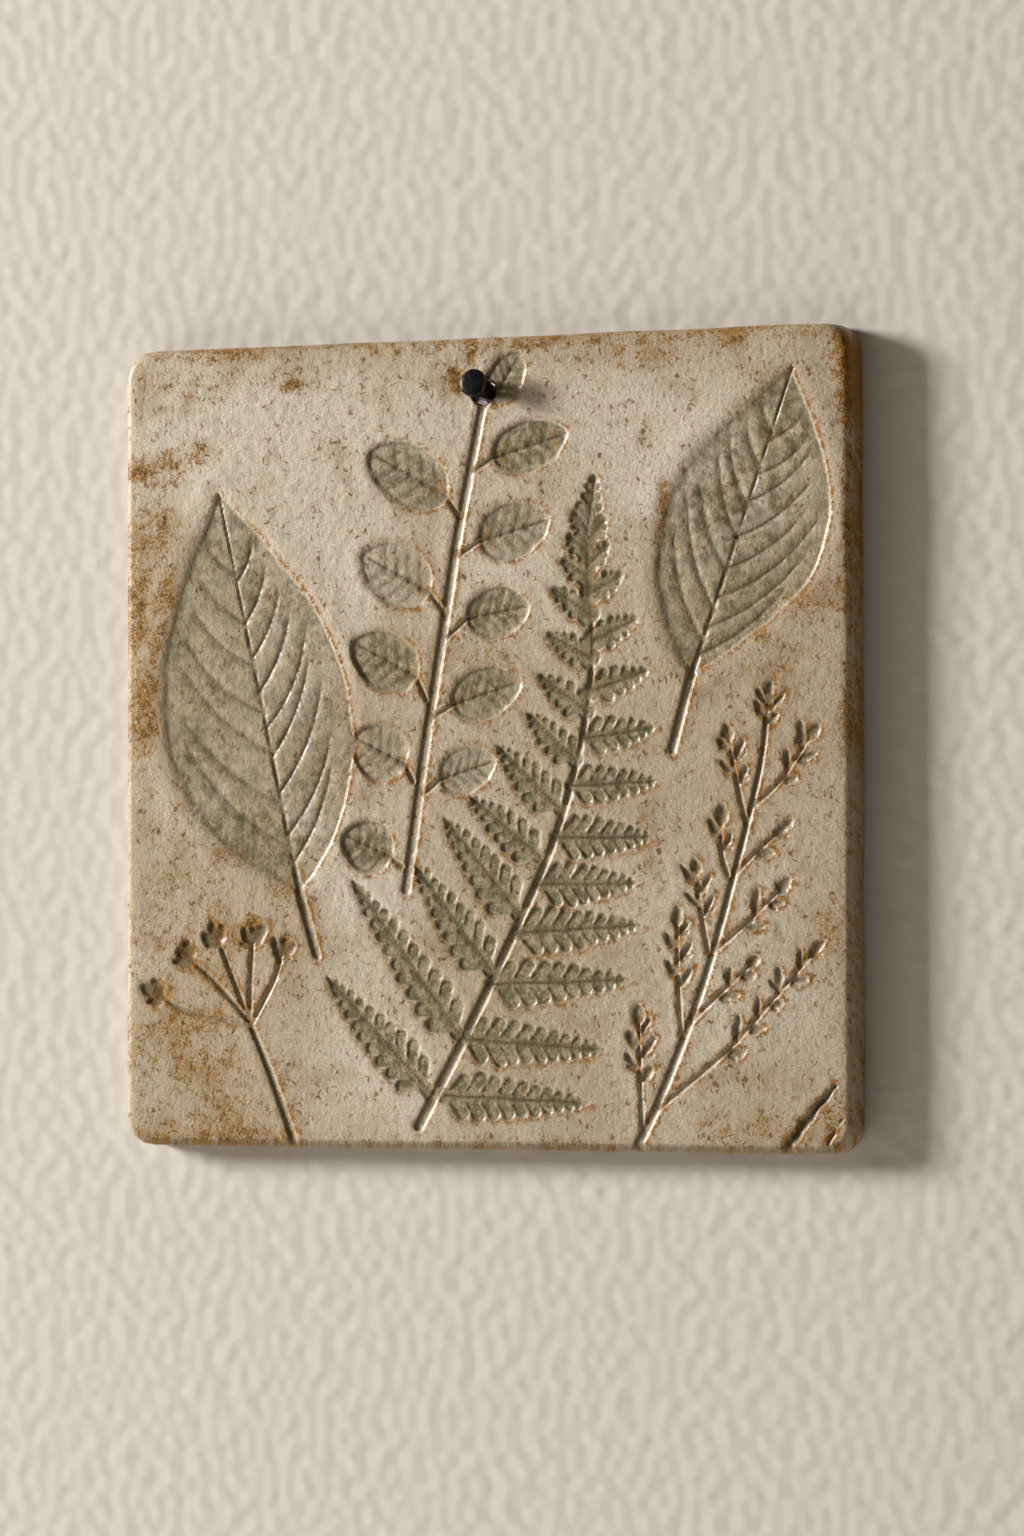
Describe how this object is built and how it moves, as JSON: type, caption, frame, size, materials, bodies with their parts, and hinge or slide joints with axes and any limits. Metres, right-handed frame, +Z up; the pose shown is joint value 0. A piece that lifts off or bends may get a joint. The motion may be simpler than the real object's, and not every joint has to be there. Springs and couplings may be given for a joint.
{
  "type": "ceramic wall tile",
  "caption": "Square glazed stoneware wall tile with leaves, a fern and seed sprigs pressed into its face, hanging on a black nail.",
  "frame": {"origin": "where the nail's axis meets the wall plane, which the tile's back lies on", "axes": "+Z up, +Y into the wall, -Y out of the tile's face, +X to the viewer's right"},
  "size_m": [0.15, 0.0306, 0.15],
  "materials": {
    "glaze": "satin beige glaze over stoneware, grey-green in the impressions, rust-brown iron stains at the edges",
    "iron": "black, slightly glossy"
  },
  "bodies": {
    "root": {"tile": "glaze", "nail": "iron"}
  },
  "joints": []
}
